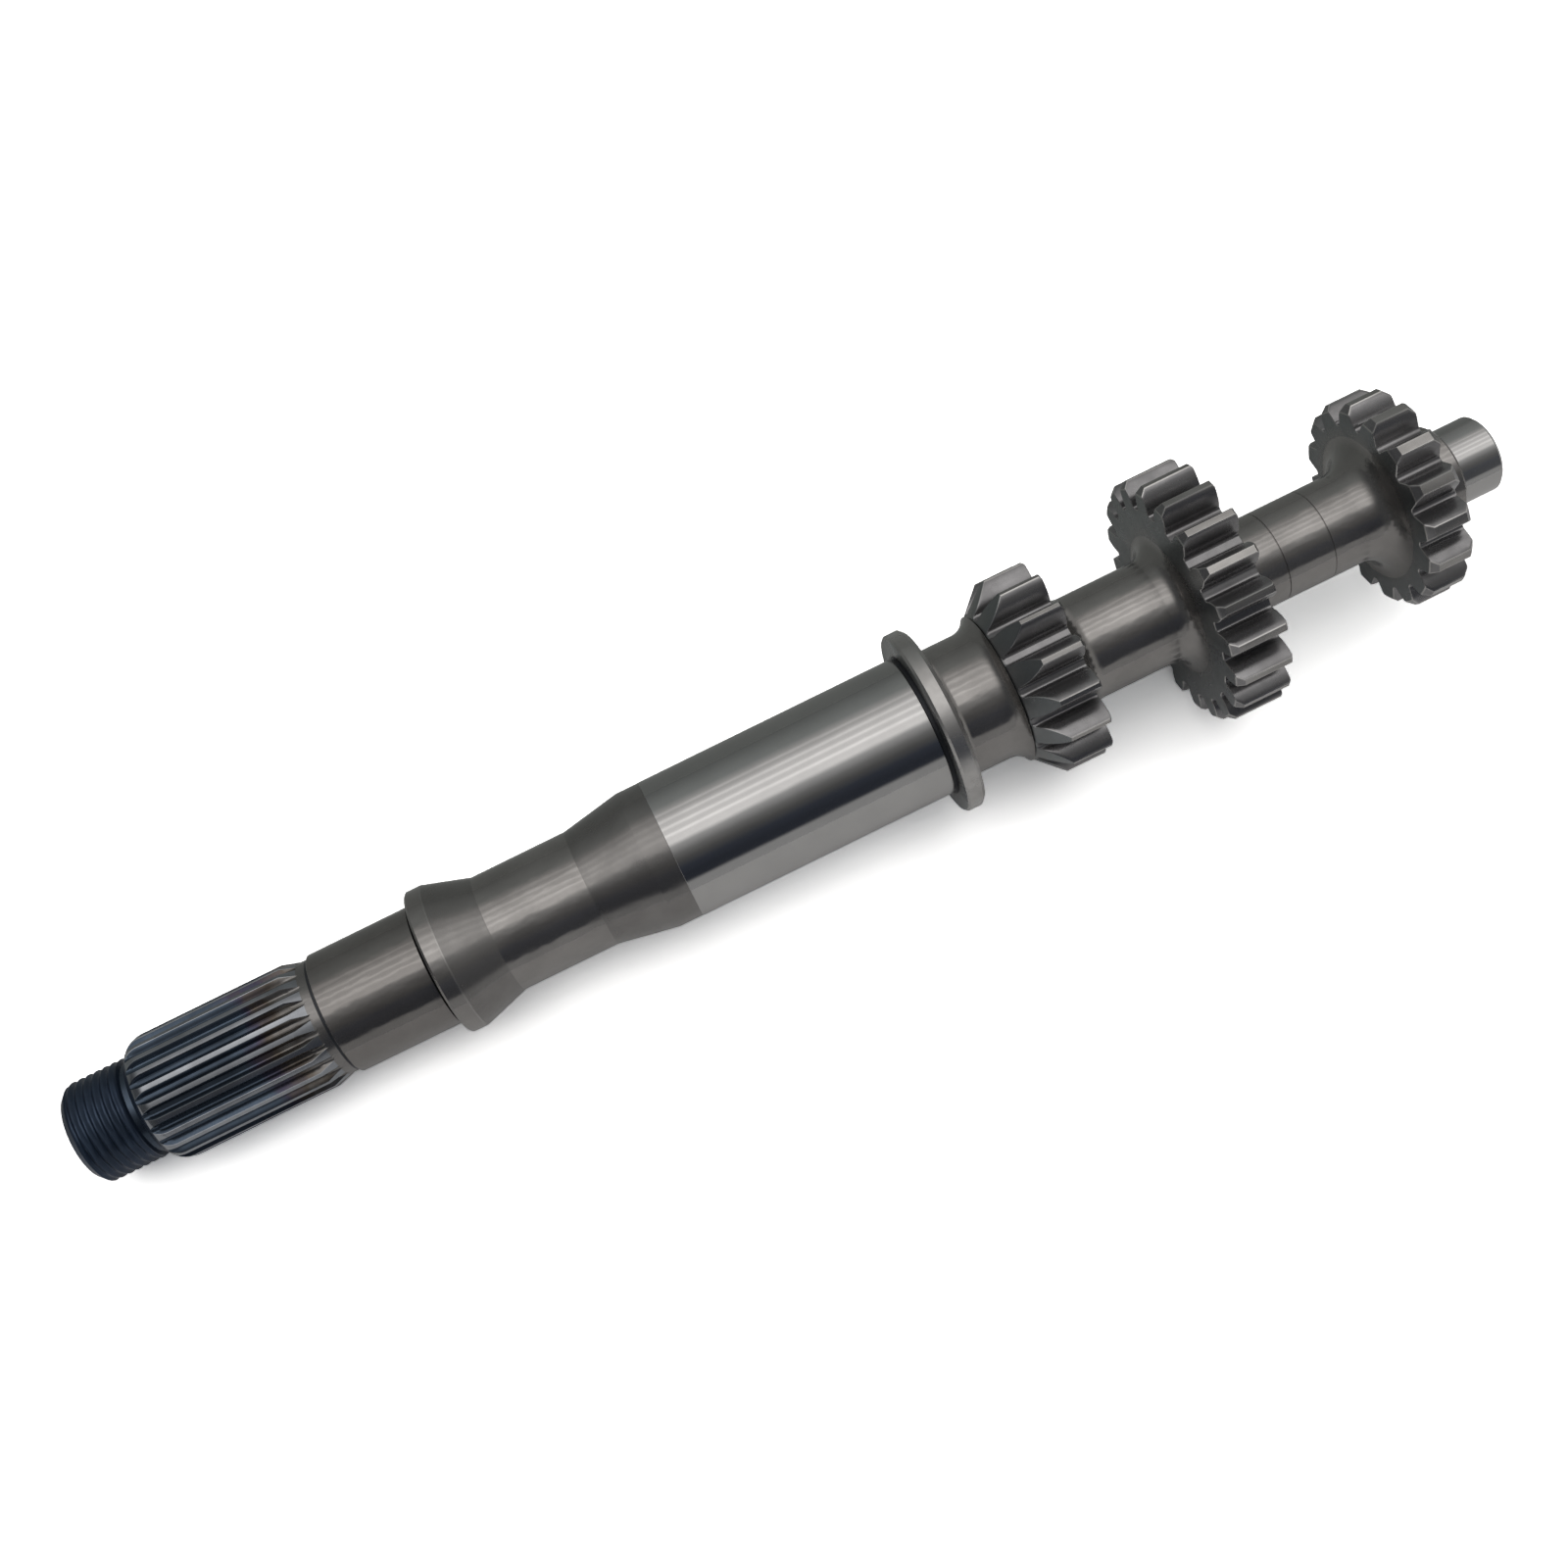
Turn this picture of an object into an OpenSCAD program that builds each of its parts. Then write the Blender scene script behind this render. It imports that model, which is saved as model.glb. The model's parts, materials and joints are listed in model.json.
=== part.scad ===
// Transmission main shaft: one steel forging with three gears cut into it.
// It is measured along its axis, from the thread's end face to the plain journal's end.
// The origin is on the axis, at the thrust face of the flange. The shaft lies on two
// teeth of its large gear and on the front of its spline, so its axis leans a little.

/* [Threaded end] */
// Diameter over the thread's crests
thread_d = 18; // [17.2:0.1:18.8]
// Pitch of the thread
thread_pitch = 1.5; // [1:0.25:2]
// Length of the threaded stretch, from the end face
thread_len = 10.6; // [8:0.1:16]
// Chamfer on the end face
thread_chamfer = 1.3; // [0.5:0.1:1.6]
// Diameter of the relief between the thread and the spline
relief_d = 15.9; // [14:0.1:17]
// Length of the relief
relief_len = 1.3; // [0.8:0.1:3]

/* [Spline] */
// Number of splines
spline_teeth = 24; // [20:1:28]
// Diameter over the splines
spline_d = 22.5; // [21.8:0.1:24]
// Depth of the grooves between the splines
spline_depth = 0.95; // [0.6:0.05:1.1]
// Width of one spline's flat land
spline_land = 0.9; // [0.8:0.05:1.1]
// Width of one groove's floor
spline_floor = 0.8; // [0.5:0.05:0.9]
// Length of the spline
spline_len = 33.2; // [20:0.1:45]
// Radius of the rounded front of the spline
spline_round = 4; // [3:0.1:5]
// Angle of that rounding that is left off, at the flat front face
spline_nose = 15; // [5:1:30]
// Length of the taper at the rear of the spline
spline_taper = 3.2; // [1.5:0.1:5]
// Length of the plain band behind the spline
band_len = 1.1; // [0.5:0.1:3]

/* [Rear journal and collar] */
// Diameter of the journal beside the spline
journal_d = 21.7; // [21.4:0.1:23]
// Length of the journal
journal_len = 18.5; // [10:0.1:30]
// Width of the relief groove at each end of the journal
journal_groove = 0.6; // [0.4:0.1:1]
// Depth of those grooves below the journal
journal_groove_depth = 0.5; // [0.2:0.05:0.6]
// Diameter of the collar
collar_d = 26.2; // [25.6:0.1:29]
// Length of the collar's straight rim
collar_len = 3.1; // [2:0.1:6]
// Chamfer on the collar's outer edge
collar_chamfer = 0.4; // [0.2:0.1:0.8]
// Diameter of the waist
waist_d = 21; // [19:0.1:22]
// Length of the cone from the collar down to the waist
waist_fall = 8.1; // [5:0.1:12]
// Length of the waist
waist_len = 17.4; // [10:0.1:25]
// Length of the cone from the waist up to the bearing seat
waist_rise = 10.6; // [6:0.1:15]

/* [Bearing seat] */
// Diameter of the ground bearing seat
seat_d = 25; // [24.6:0.1:25.4]
// Length of the ground bearing seat
seat_len = 46.8; // [35:0.1:60]
// Length of the unground stretch before it
seat_lead = 4.3; // [2:0.1:8]
// How far the unground stretch lies below the ground one
seat_grind = 0.05; // [0.02:0.01:0.1]
// Width of the relief groove at the thrust face
seat_groove = 0.8; // [0.5:0.1:1.5]
// Depth of that groove below the seat
seat_groove_depth = 0.35; // [0.2:0.05:0.6]
// How far that groove, and the one at the end journal, also cut into the face beside them
face_groove_depth = 0.15; // [0.1:0.05:0.3]
// How far they reach up that face
face_groove_rise = 0.5; // [0.3:0.05:0.8]

/* [Flange and first neck] */
// Diameter of the thrust flange
flange_d = 32.8; // [30:0.1:38]
// Thickness of the thrust flange
flange_len = 3.3; // [2.5:0.1:6]
// Chamfer on the flange's rear edge
flange_chamfer = 0.7; // [0.3:0.1:1.2]
// Diameter of the neck between the flange and the first gear
neck1_d = 23; // [20:0.1:24]
// Length of that neck
neck1_len = 10.5; // [8:0.1:16]
// Diameter of the sharp shoulder where the neck flares out to the first gear
shoulder_d = 26.9; // [26:0.1:27.6]
// Radius of that flare
flare_r = 3.5; // [3.1:0.1:5]
// Width of the fine groove between the shoulder and the first gear
shoulder_groove = 0.25; // [0.15:0.05:0.5]

/* [Gears] */
// Module of all three gears
gear_module = 2; // [1.9:0.05:2.1]
// Pressure angle of the teeth
pressure_angle = 20; // [19:0.5:23]
// Teeth of the first gear, with the pointed front ends
gear1_teeth = 15; // [14:1:17]
// Profile shift of the first gear
gear1_shift = 0.4; // [0.3:0.05:0.5]
// Face width of the first gear
gear1_len = 12; // [9:0.1:16]
// Angle of the cone that points the first gear's teeth
gear1_cone = 45; // [40:1:55]
// How far below the first gear's tooth floors that cone starts
gear1_cone_sink = 0.1; // [0.05:0.05:0.3]
// Teeth of the large gear
gear2_teeth = 20; // [18:1:24]
// Profile shift of the large gear
gear2_shift = 0.125; // [0:0.025:0.4]
// Face width of the large gear
gear2_len = 9.8; // [7:0.1:14]
// Teeth of the last gear
gear3_teeth = 16; // [14:1:18]
// Profile shift of the last gear
gear3_shift = 0.75; // [0.6:0.05:0.8]
// How far the last gear's teeth stay below full height, which leaves them wide tops
gear3_topping = 0.9; // [0.7:0.1:1.1]
// Face width of the last gear
gear3_len = 7.9; // [5:0.1:12]
// Angle by which the last gear's teeth are turned round the axis
gear3_turn = 18.5; // [0:0.5:22.5]
// Chamfer on the front tips of the large gear and the last gear
tip_chamfer = 1.1; // [0.5:0.1:1.5]
// Chamfer on all other tooth tips
tip_break = 0.4; // [0.2:0.1:0.6]
// Radius at the foot of the teeth
root_fillet = 0.6; // [0.3:0.05:0.7]
// Radius at the foot of the last gear's teeth, which has rounder spaces
gear3_root_fillet = 1.1; // [0.6:0.05:1.3]

/* [Necks and plain journal] */
// Diameter of the neck between the first gear and the large gear
neck2_d = 18.5; // [16:0.1:20]
// Length of that neck
neck2_len = 20.2; // [15:0.1:30]
// Radius of the fillets at both ends of that neck
neck2_fillet = 3.9; // [2:0.1:4.5]
// Diameter of the neck between the large gear and the last gear
neck3_d = 16.1; // [14:0.1:18]
// Length of that neck
neck3_len = 27.6; // [20:0.1:40]
// Radius of the fillet at the last gear
neck3_fillet = 5; // [3:0.1:5.5]
// Radius of the smaller fillets, behind the flange and behind the large gear
small_fillet = 1.6; // [0.8:0.1:2]
// Distance of the first scribed ring from the large gear
scribe_start = 8.3; // [5:0.1:10]
// Distance between the two scribed rings
scribe_step = 8.5; // [4:0.1:9]
// Width of a scribed ring
scribe_w = 0.25; // [0.15:0.05:0.4]
// Diameter of the hub behind the last gear
hub_d = 17.4; // [15:0.1:19]
// Length of the hub
hub_len = 5.5; // [3:0.1:8]
// Diameter of the plain end journal
end_d = 13.5; // [12:0.1:14.5]
// Length of the plain end journal
end_len = 8; // [6:0.1:15]
// Chamfer on the plain journal's end and on the hub's edge
end_chamfer = 0.5; // [0.3:0.1:0.8]

/* [Hidden] */
$fn = 96;
arc_steps = 8;
flank_steps = 6;
sink = 0.6;

// Stations along the axis, from the thread's end face
z_thread = thread_len;
z_spline = z_thread + relief_len;
z_spline_end = z_spline + spline_len;
z_band = z_spline_end + band_len;
z_journal = z_band + journal_groove;
z_journal_end = z_journal + journal_len;
z_collar = z_journal_end + journal_groove;
z_collar_end = z_collar + collar_len;
z_waist = z_collar_end + waist_fall;
z_waist_end = z_waist + waist_len;
z_lead = z_waist_end + waist_rise;
z_seat = z_lead + seat_lead;
z_seat_end = z_seat + seat_len;
z_thrust = z_seat_end + seat_groove;
z_flange_end = z_thrust + flange_len;
z_shoulder = z_flange_end + neck1_len;
z_gear1 = z_shoulder + shoulder_groove;
z_gear1_end = z_gear1 + gear1_len;
z_gear2 = z_gear1_end + neck2_len;
z_gear2_end = z_gear2 + gear2_len;
z_gear3 = z_gear2_end + neck3_len;
z_gear3_end = z_gear3 + gear3_len;
z_hub_end = z_gear3_end + hub_len;
z_end = z_hub_end + end_len;

// Radii that follow from the sizes above
spline_r = spline_d / 2;
spline_root_r = spline_r - spline_depth;
journal_groove_r = journal_d / 2 - journal_groove_depth;

// The angle through which the flare turns, from the neck to the sharp shoulder
flare_turn = acos(1 - (shoulder_d - neck1_d) / 2 / flare_r);

// The involute of an angle, in degrees
function inv(a) = tan(a) * 180 / PI - a;
function pitch_r(teeth) = gear_module * teeth / 2;
function base_r(teeth) = pitch_r(teeth) * cos(pressure_angle);
function tip_r(teeth, shift, topping = 0) = pitch_r(teeth) + gear_module * (1 + shift) - topping;
function root_r(teeth, shift) = pitch_r(teeth) - gear_module * (1.25 - shift);

// Half the angle that a tooth fills at radius r
function tooth_half(teeth, shift, r) =
    (90 + 360 / PI * shift * tan(pressure_angle)) / teeth
    + inv(pressure_angle)
    - inv(acos(min(1, base_r(teeth) / r)));

// Points round a centre, from angle a0 to a1, as [radius, station] on the turned profile
function arc(c, r, a0, a1) =
    [for (i = [0 : arc_steps]) let (a = a0 + (a1 - a0) * i / arc_steps) c + r * [cos(a), sin(a)]];

function polar(r, a) = [r * cos(a), r * sin(a)];

// One side of a tooth space, from the floor's middle to the tooth's tip, at side -1 or 1
function space_side(teeth, shift, fillet, topping) =
    let (
        r0 = root_r(teeth, shift),
        r1 = tip_r(teeth, shift, topping),
        space = 180 / teeth,
        foot_half = tooth_half(teeth, shift, max(r0, base_r(teeth))),
        room = (space - foot_half) * PI / 180 * r0,
        f = min(fillet, 0.95 * room),
        rf = max(r0 + f, base_r(teeth))
    )
    concat(
        [[r0, space]],
        [for (i = [0 : arc_steps / 2])
            let (a = 90 * i / (arc_steps / 2))
            [r0 + f * (1 - cos(a)), foot_half + (f * (1 - sin(a))) * 180 / PI / r0]],
        [for (i = [0 : flank_steps])
            let (r = rf + (r1 - rf) * i / flank_steps)
            [r, tooth_half(teeth, shift, r)]],
        [[r1, 0]]
    );

// The outline of a whole gear, tooth by tooth
function gear_points(teeth, shift, fillet, topping) =
    let (
        side = space_side(teeth, shift, fillet, topping),
        n = len(side)
    )
    [for (k = [0 : teeth - 1])
        let (mid = 360 * k / teeth)
        for (j = [0 : 2 * n - 3])
            let (p = j < n ? side[j] : side[2 * n - 2 - j])
            polar(p[0], mid + (j < n ? -p[1] : p[1]))];

// The outline of the spline
function spline_points() =
    let (
        land_half = spline_land / 2 / spline_r * 180 / PI,
        floor_half = spline_floor / 2 / spline_root_r * 180 / PI,
        step = 360 / spline_teeth
    )
    [for (k = [0 : spline_teeth - 1])
        for (p = [[spline_r, -land_half], [spline_r, 0], [spline_r, land_half],
                  [spline_root_r, step / 2 - floor_half], [spline_root_r, step / 2 + floor_half]])
            polar(p[0], k * step + p[1])];

// A ring groove with slanted sides, as points on the turned profile
function ring_groove(z, r, w, depth) =
    [[r, z - w / 2], [r - depth, z - w / 8], [r - depth, z + w / 8], [r, z + w / 2]];

// The thread's grooves, each one pitch after the last
thread_r = thread_d / 2;
thread_depth = min(0.54 * thread_pitch, thread_r - relief_d / 2);
thread_groove = 0.82 * thread_pitch;
relief_edge = z_thread - 0.15 * thread_pitch;
thread_turns = floor((relief_edge - thread_chamfer) / thread_pitch);
thread_profile = [
    for (i = [0 : thread_turns - 1])
        each ring_groove(thread_chamfer + (i + 0.5) * thread_pitch, thread_r, thread_groove, thread_depth)
];

// The whole turned profile, as [radius, station], with the gears and the spline left out
module turned_body() {
    neck1_r = neck1_d / 2;
    neck2_r = neck2_d / 2;
    neck3_r = neck3_d / 2;
    gear1_core = root_r(gear1_teeth, gear1_shift) - sink;
    gear2_core = root_r(gear2_teeth, gear2_shift) - sink;
    gear3_core = root_r(gear3_teeth, gear3_shift) - sink;
    fillet2 = min(neck2_fillet, gear1_core - neck2_r);
    fillet3 = min(neck3_fillet, gear3_core - neck3_r);
    fillet_small = min(small_fillet, gear2_core - neck3_r, flange_d / 2 - flange_chamfer - neck1_r);
    rotate_extrude()
        polygon(concat(
            [[0, 0], [thread_r - thread_chamfer, 0], [thread_r, thread_chamfer]],
            thread_profile,
            [[thread_r, relief_edge], [relief_d / 2, z_thread]],
            [[relief_d / 2, z_spline + sink], [spline_root_r - sink, z_spline + sink + spline_depth]],
            [[spline_root_r - sink, z_spline_end - spline_taper], [spline_root_r, z_spline_end - sink]],
            [[spline_root_r, z_band], [journal_groove_r, z_band + journal_groove / 4]],
            [[journal_groove_r, z_journal - journal_groove / 4], [journal_d / 2, z_journal]],
            [[journal_d / 2, z_journal_end], [journal_groove_r, z_journal_end + journal_groove / 4]],
            [[journal_groove_r, z_collar], [collar_d / 2 - collar_chamfer, z_collar]],
            [[collar_d / 2, z_collar + collar_chamfer], [collar_d / 2, z_collar_end]],
            [[waist_d / 2, z_waist], [waist_d / 2, z_waist_end]],
            [[seat_d / 2 - seat_grind, z_lead], [seat_d / 2 - seat_grind, z_seat]],
            [[seat_d / 2, z_seat + seat_grind], [seat_d / 2, z_seat_end]],
            [[seat_d / 2 - seat_groove_depth, z_seat_end + seat_groove / 4]],
            [[seat_d / 2 - seat_groove_depth, z_thrust + face_groove_depth]],
            [[seat_d / 2 + face_groove_rise / 2, z_thrust + face_groove_depth]],
            [[seat_d / 2 + face_groove_rise, z_thrust], [flange_d / 2 - tip_break, z_thrust]],
            [[flange_d / 2, z_thrust + tip_break], [flange_d / 2, z_flange_end - flange_chamfer]],
            [[flange_d / 2 - flange_chamfer, z_flange_end]],
            arc([neck1_r + fillet_small, z_flange_end + fillet_small], fillet_small, 270, 180),
            arc([neck1_r + flare_r, z_shoulder - flare_r * sin(flare_turn)], flare_r, 180, 180 - flare_turn),
            [[gear1_core, z_shoulder + shoulder_groove / 2], [gear1_core, z_gear1_end - sink]],
            [[neck2_r + fillet2, z_gear1_end - sink]],
            arc([neck2_r + fillet2, z_gear1_end + fillet2], fillet2, 270, 180),
            arc([neck2_r + fillet2, z_gear2 - fillet2], fillet2, 180, 90),
            [[neck2_r + fillet2, z_gear2 + sink], [gear2_core, z_gear2 + sink]],
            [[gear2_core, z_gear2_end - sink], [neck3_r + fillet_small, z_gear2_end - sink]],
            arc([neck3_r + fillet_small, z_gear2_end + fillet_small], fillet_small, 270, 180),
            ring_groove(z_gear2_end + scribe_start, neck3_r, scribe_w, scribe_w / 2),
            ring_groove(z_gear2_end + scribe_start + scribe_step, neck3_r, scribe_w, scribe_w / 2),
            arc([neck3_r + fillet3, z_gear3 - fillet3], fillet3, 180, 90),
            [[neck3_r + fillet3, z_gear3 + sink], [gear3_core, z_gear3 + sink]],
            [[gear3_core, z_gear3_end - sink], [hub_d / 2, z_gear3_end - sink]],
            [[hub_d / 2, z_hub_end - end_chamfer], [hub_d / 2 - end_chamfer, z_hub_end]],
            [[end_d / 2 + face_groove_rise, z_hub_end]],
            [[end_d / 2 + face_groove_rise / 2, z_hub_end - face_groove_depth]],
            [[end_d / 2 - face_groove_depth, z_hub_end - face_groove_depth]],
            [[end_d / 2 - face_groove_depth, z_hub_end], [end_d / 2, z_hub_end + journal_groove]],
            [[end_d / 2, z_end - end_chamfer], [end_d / 2 - end_chamfer, z_end], [0, z_end]]
        ));
}

// A toothed stretch, cut to shape by a turned outline that chamfers its ends
module gear(teeth, shift, fillet, z0, z1, turn, front, rear, topping = 0) {
    r1 = tip_r(teeth, shift, topping);
    intersection() {
        translate([0, 0, z0])
            rotate([0, 0, turn])
                linear_extrude(height = z1 - z0)
                    polygon(gear_points(teeth, shift, fillet, topping));
        rotate_extrude()
            polygon([
                [0, z0], [r1 - front[0], z0], [r1, z0 + front[1]],
                [r1, z1 - rear], [r1 - rear, z1], [0, z1]
            ]);
    }
}

module gear1() {
    floor_r = root_r(gear1_teeth, gear1_shift) - gear1_cone_sink;
    cone_h = tip_r(gear1_teeth, gear1_shift) - floor_r;
    gear(gear1_teeth, gear1_shift, root_fillet, z_gear1, z_gear1_end, 0,
        [cone_h, cone_h / tan(gear1_cone)], tip_break);
}

module gear2() {
    gear(gear2_teeth, gear2_shift, root_fillet, z_gear2, z_gear2_end, 180 / gear2_teeth,
        [tip_chamfer, tip_chamfer], tip_break);
}

module gear3() {
    gear(gear3_teeth, gear3_shift, gear3_root_fillet, z_gear3, z_gear3_end, gear3_turn,
        [tip_chamfer, tip_chamfer], tip_chamfer, gear3_topping);
}

// The spline, rounded at the front and tapered to its groove floors at the rear
module spline() {
    intersection() {
        translate([0, 0, z_spline])
            linear_extrude(height = spline_len)
                polygon(spline_points());
        rotate_extrude()
            polygon(concat(
                [[0, z_spline]],
                arc([spline_r - spline_round, z_spline + spline_round], spline_round, 270 + spline_nose, 360),
                [[spline_r, z_spline_end - spline_taper], [spline_root_r, z_spline_end], [0, z_spline_end]]
            ));
    }
}

// How the shaft lies: the lean that brings the large gear and the spline to one floor
rest_r = tip_r(gear2_teeth, gear2_shift);
land_half = tooth_half(gear2_teeth, gear2_shift, rest_r);
gear_drop = rest_r * cos(180 / gear2_teeth - land_half);
rest_reach = z_gear2 + tip_chamfer - z_spline - spline_round;
rest_rise = gear_drop - spline_r + spline_round;
lean = atan2(rest_rise, rest_reach) - asin(spline_round / norm([rest_reach, rest_rise]));

module main_shaft() {
    color("slategray")
        rotate([0, 90 - lean, 0])
            translate([0, 0, -z_thrust])
                union() {
                    turned_body();
                    spline();
                    gear1();
                    gear2();
                    gear3();
                }
}

main_shaft();
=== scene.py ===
"""Dresses the transmission main shaft: its fine skin, its steel finishes, and the studio round it."""

import json
import math

import bpy
import numpy as np
from bpy.props import FloatProperty, FloatVectorProperty, IntProperty, IntVectorProperty, PointerProperty
from mathutils import Matrix, Vector


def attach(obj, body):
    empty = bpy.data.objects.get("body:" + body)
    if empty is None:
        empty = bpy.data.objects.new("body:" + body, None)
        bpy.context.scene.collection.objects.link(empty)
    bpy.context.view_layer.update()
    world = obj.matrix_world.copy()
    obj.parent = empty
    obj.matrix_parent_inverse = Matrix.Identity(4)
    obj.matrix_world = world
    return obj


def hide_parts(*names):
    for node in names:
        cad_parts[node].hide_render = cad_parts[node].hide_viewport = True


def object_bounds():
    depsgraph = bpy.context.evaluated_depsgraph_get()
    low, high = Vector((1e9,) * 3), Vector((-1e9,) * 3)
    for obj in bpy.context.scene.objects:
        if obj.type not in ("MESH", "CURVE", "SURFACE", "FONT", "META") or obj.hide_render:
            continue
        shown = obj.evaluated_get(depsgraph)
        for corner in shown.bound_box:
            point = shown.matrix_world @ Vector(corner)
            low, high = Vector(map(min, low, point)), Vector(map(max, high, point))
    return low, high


bl_info = {
    "name": "Transmission Main Shaft",
    "version": (1, 0, 0),
    "blender": (4, 5, 0),
    "location": "3D View > Sidebar > Main Shaft",
    "description": "Builds the dressed transmission main shaft and its studio",
    "category": "Object",
}

MM = 0.001
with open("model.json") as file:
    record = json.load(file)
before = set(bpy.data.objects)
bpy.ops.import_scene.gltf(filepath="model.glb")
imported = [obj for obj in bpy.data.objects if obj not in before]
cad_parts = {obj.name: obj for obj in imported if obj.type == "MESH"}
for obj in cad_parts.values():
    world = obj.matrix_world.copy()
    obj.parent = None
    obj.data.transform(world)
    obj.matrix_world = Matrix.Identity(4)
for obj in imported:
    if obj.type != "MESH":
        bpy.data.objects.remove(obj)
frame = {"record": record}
CAD_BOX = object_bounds()
MOUNTS = {m["name"]: m for m in frame["record"]["mounts"]}
AXIS = Vector(MOUNTS["end_journal"]["axis"]).normalized()
BACKWARDS = Vector((0, 1, 0))
UP = AXIS.cross(BACKWARDS)
FLOOR_Z = CAD_BOX[0].z


def mounted(name, key):
    """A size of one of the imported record's mounts, in millimetres."""
    return MOUNTS[name]["dims"][key]


def size(name, default, description):
    """A length in millimetres that a user may change."""
    return FloatProperty(name=name, description=description, default=default, min=0.0)


def number(name, default, description):
    """A number that a user may change."""
    return FloatProperty(name=name, description=description, default=default)


def numbers(name, default, description):
    """A row of numbers that a user may change."""
    return FloatVectorProperty(name=name, description=description, size=len(default), default=default)


def shade(name, default, description):
    """A colour that a user may change."""
    return FloatVectorProperty(
        name=name, description=description, subtype="COLOR", size=3, min=0.0, max=1.0, default=default
    )


class ThreadSizes(bpy.types.PropertyGroup):
    """Sizes of the threaded end, in millimetres."""

    radius: size("Crest radius", mounted("thread_end", "r_mm"), "Radius over the thread's crests")
    pitch: size("Pitch", 1.5, "Distance from one thread to the next")
    length: size("Length", 11.1, "Length of the threaded stretch")
    depth: size("Depth", 0.5, "Depth of the thread")
    chamfer: size("Chamfer", 1.3, "Chamfer on the end face")
    relief_radius: size("Relief radius", 8.3, "Radius of the relief before the spline")
    relief_length: size("Relief length", 0.8, "Length of that relief")


class SplineSizes(bpy.types.PropertyGroup):
    """Sizes of the spline, in millimetres."""

    teeth: IntProperty(name="Splines", description="Number of splines", default=24, min=3)
    radius: size("Radius", mounted("spline", "r_mm"), "Radius over the splines")
    depth: size("Depth", 0.95, "Depth of the grooves")
    land: size("Land", 0.9, "Width of one spline's land")
    floor: size("Floor", 0.8, "Width of one groove's floor")
    length: size("Length", mounted("spline", "length_mm"), "Length of the spline")
    nose: size("Nose radius", 4.0, "Radius of the rounded front")
    taper: size("Taper", 3.2, "Length of the taper at the rear")
    band: size("Band", 1.1, "Length of the plain band behind the spline")


class CentreSizes(bpy.types.PropertyGroup):
    """Sizes of the centre hole in each end, in millimetres."""

    mouth: size("Mouth radius", 3.0, "Radius of the hole at the end face")
    pilot: size("Pilot radius", 1.25, "Radius of the pilot hole")
    cone: size("Cone depth", 3.0, "Depth of the 60 degree cone")
    depth: size("Depth", 5.5, "Depth of the whole hole")


class JournalSizes(bpy.types.PropertyGroup):
    """Sizes of the rear journal, the collar and the waist, in millimetres."""

    radius: size("Journal radius", mounted("rear_journal", "r_mm"), "Radius of the rear journal")
    length: size("Journal length", mounted("rear_journal", "length_mm"), "Length of the rear journal")
    groove: size("Groove width", 0.6, "Width of the groove at each end of the journal")
    groove_depth: size("Groove depth", 0.5, "Depth of those grooves")
    collar_radius: size("Collar radius", 13.1, "Radius of the collar")
    collar_length: size("Collar length", 3.1, "Length of the collar's rim")
    collar_chamfer: size("Collar chamfer", 0.4, "Chamfer on the collar's outer edge")
    waist_radius: size("Waist radius", 10.5, "Radius of the waist")
    waist_fall: size("Waist fall", 8.1, "Length of the cone from the collar to the waist")
    waist_length: size("Waist length", 17.4, "Length of the waist")
    waist_rise: size("Waist rise", 10.6, "Length of the cone from the waist to the seat")


class SeatSizes(bpy.types.PropertyGroup):
    """Sizes of the bearing seat, the flange and the first neck, in millimetres."""

    radius: size("Seat radius", mounted("bearing_seat", "r_mm"), "Radius of the ground seat")
    length: size("Seat length", mounted("bearing_seat", "length_mm"), "Length of the ground seat")
    lead: size("Lead", 4.3, "Length of the unground stretch before the seat")
    grind: size("Grinding step", 0.05, "How far that stretch lies below the seat")
    groove: size("Groove width", 0.8, "Width of the groove at the thrust face")
    groove_depth: size("Groove depth", 0.35, "Depth of that groove")
    face_depth: size("Face groove depth", 0.15, "How far a groove cuts into the face beside it")
    face_rise: size("Face groove rise", 0.5, "How far a groove reaches up that face")
    flange_radius: size("Flange radius", 16.4, "Radius of the thrust flange")
    flange_length: size("Flange length", 3.3, "Thickness of the thrust flange")
    flange_chamfer: size("Flange chamfer", 0.7, "Chamfer on the flange's rear edge")
    neck_radius: size("Neck radius", 11.5, "Radius of the neck behind the flange")
    neck_length: size("Neck length", 10.5, "Length of that neck")
    shoulder_radius: size("Shoulder radius", 13.45, "Radius of the shoulder before the first gear")
    flare: size("Flare radius", 3.5, "Radius of the flare up to the shoulder")
    shoulder_groove: size("Shoulder groove", 0.25, "Width of the groove after the shoulder")


class GearSizes(bpy.types.PropertyGroup):
    """Sizes of the three gears, in millimetres and degrees."""

    module: size("Module", 2.0, "Module of all three gears")
    pressure_angle: number("Pressure angle", 20.0, "Pressure angle of the teeth, in degrees")
    teeth: IntVectorProperty(
        name="Teeth", description="Teeth of the first, large and last gear", default=(15, 20, 16)
    )
    shift: numbers("Profile shift", (0.4, 0.125, 0.75), "Profile shift of the three gears")
    topping: numbers("Topping", (0, 0, 0.9), "How far the teeth stay below full height, in millimetres")
    length: numbers("Face width", tuple(mounted(f"gear_{n}", "length_mm") for n in (1, 2, 3)), "Width of the gears")
    turn: numbers("Turn", (0.0, 9.0, 18.5), "Angle of the three gears' first tooth, in degrees")
    foot: numbers("Foot radius", (0.6, 0.6, 1.1), "Radius at the foot of the three gears' teeth")
    cone: number("Cone angle", 45.0, "Angle of the cone on the first gear's front, in degrees")
    cone_sink: size("Cone start", 0.1, "How far below the tooth floors that cone starts")
    tip_chamfer: size("Tip chamfer", 1.1, "Chamfer on the other gears' front tips and the last one's rear tips")
    tip_break: size("Tip break", 0.4, "Chamfer on all other tooth tips and on the flange's front edge")
    burr: size("Edge break", 0.12, "Small bevel round the ends of the teeth")


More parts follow.
